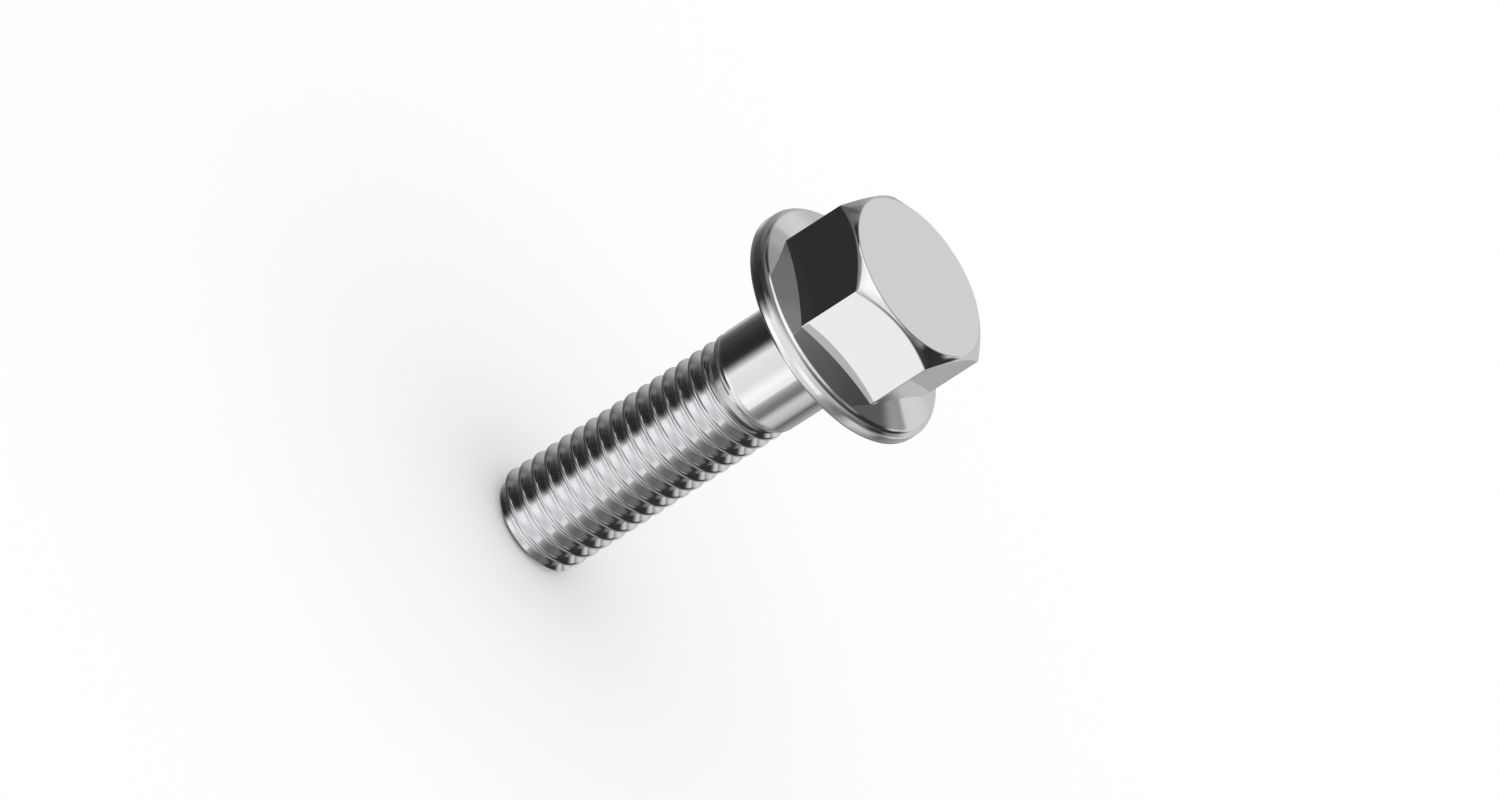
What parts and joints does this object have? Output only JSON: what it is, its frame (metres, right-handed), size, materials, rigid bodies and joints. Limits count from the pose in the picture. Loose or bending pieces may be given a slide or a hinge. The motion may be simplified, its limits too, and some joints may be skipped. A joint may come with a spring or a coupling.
{
  "type": "flange bolt",
  "caption": "Hexagon-head bolt with a built-in conical flange, a short plain shank and a coarse metric thread, in bright plated steel.",
  "frame": {"origin": "centre of the flange's flat bearing face, on the bolt's axis", "axes": "+Z along the bolt's axis, from the bearing face up through the hexagon head; the threaded end points to -Z; one pair of the hexagon's flats faces +Y and -Y"},
  "size_m": [0.0222, 0.0222, 0.0445],
  "materials": {
    "plated_steel": "polished"
  },
  "bodies": {
    "root": {"flange_bolt": "plated_steel"}
  },
  "joints": []
}
